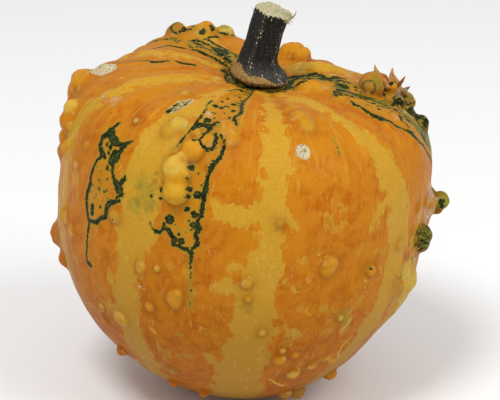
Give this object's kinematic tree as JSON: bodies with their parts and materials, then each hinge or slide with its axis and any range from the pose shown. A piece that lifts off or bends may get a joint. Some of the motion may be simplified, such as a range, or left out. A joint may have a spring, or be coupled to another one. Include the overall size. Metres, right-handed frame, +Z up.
{
  "type": "ornamental gourd",
  "caption": "Squat round ornamental gourd with square ribbed shoulders, clustered warts and a ridged dried stalk, resting on a small flat spot.",
  "frame": {"origin": "middle of the bounding box at the level of the flat spot that the gourd rests on", "axes": "+Z up, -Y the front with the group of yellow warts, +X the side that the stalk leans towards"},
  "size_m": [0.1176, 0.1107, 0.1164],
  "materials": {
    "rind": "waxy satin gourd rind: orange with yellow stripes, dark green broken lines and dots, yellow and green warts, small cream cork scars",
    "dry_stalk": "dried ridged stalk, near-black green with pale flecks, fibrous cream cut end and tan corky foot"
  },
  "bodies": {
    "root": {"fruit": "rind", "stalk": "dry_stalk"}
  },
  "joints": []
}
